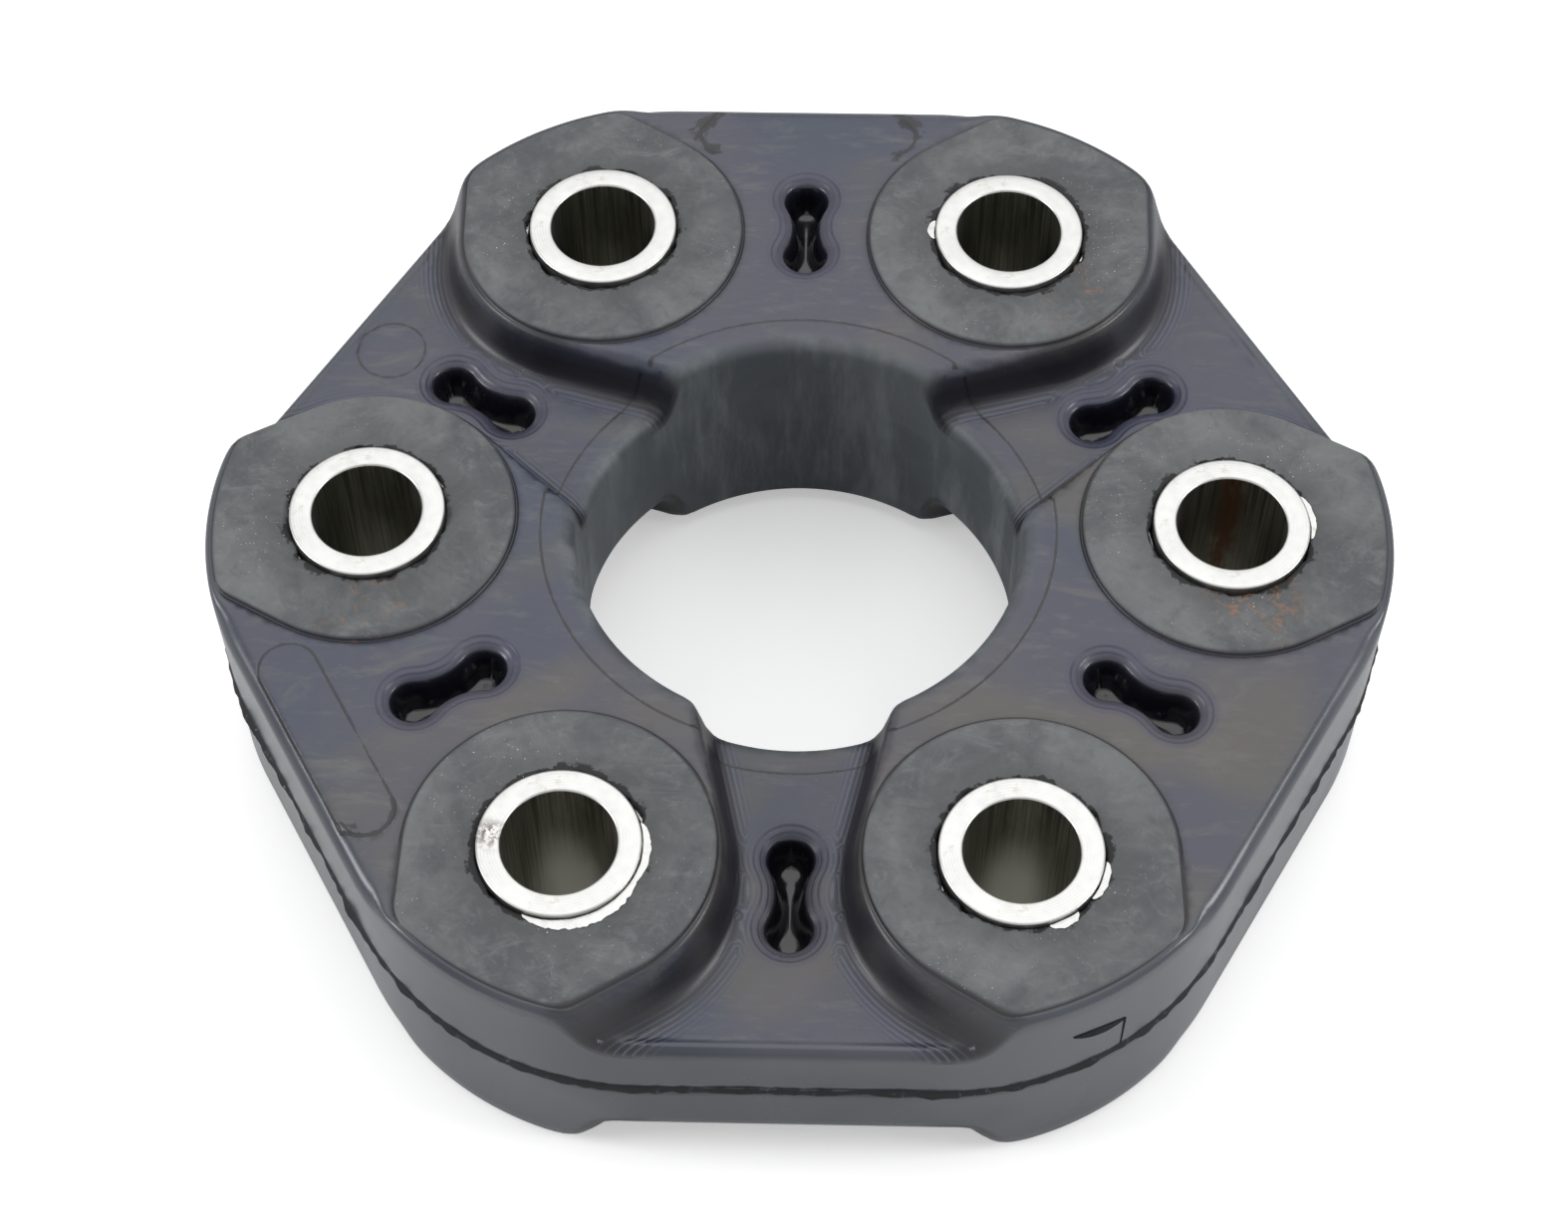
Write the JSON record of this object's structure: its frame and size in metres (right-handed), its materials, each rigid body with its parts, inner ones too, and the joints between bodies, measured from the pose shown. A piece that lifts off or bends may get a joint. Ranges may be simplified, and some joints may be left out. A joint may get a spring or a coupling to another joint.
{
  "type": "driveshaft flex disc",
  "caption": "Six-sided rubber coupling disc with steel bolt sleeves, raised pads, deep and shallow webs by turns and a large centre bore, for joining two shaft flanges.",
  "frame": {"origin": "centre of the disc at mid-height, on the shaft's axis", "axes": "+Z along the shaft's axis, +X through the middle of one sleeve, +Y through the middle of a shallow web"},
  "size_m": [0.1318, 0.1238, 0.0326],
  "materials": {
    "rubber": "moulded natural rubber, matte on the pads and satin with a faint bloom on the webs",
    "steel": "turned bright steel with fine machining marks",
    "collar": "plain pressed metal",
    "cord": "wound polyester cord"
  },
  "bodies": {
    "root": {"rubber_body": "rubber", "sleeve_1": "steel", "sleeve_2": "steel", "sleeve_3": "steel", "sleeve_4": "steel", "sleeve_5": "steel", "sleeve_6": "steel", "collar_top_1": "collar", "collar_top_2": "collar", "collar_top_3": "collar", "collar_top_4": "collar", "collar_top_5": "collar", "collar_top_6": "collar", "collar_bottom_1": "collar", "collar_bottom_2": "collar", "collar_bottom_3": "collar", "collar_bottom_4": "collar", "collar_bottom_5": "collar", "collar_bottom_6": "collar", "cord_loop_mid_1": "cord", "cord_loop_mid_2": "cord", "cord_loop_mid_3": "cord", "cord_loop_upper_1": "cord", "cord_loop_upper_2": "cord", "cord_loop_upper_3": "cord", "cord_loop_lower_1": "cord", "cord_loop_lower_2": "cord", "cord_loop_lower_3": "cord"}
  },
  "joints": []
}
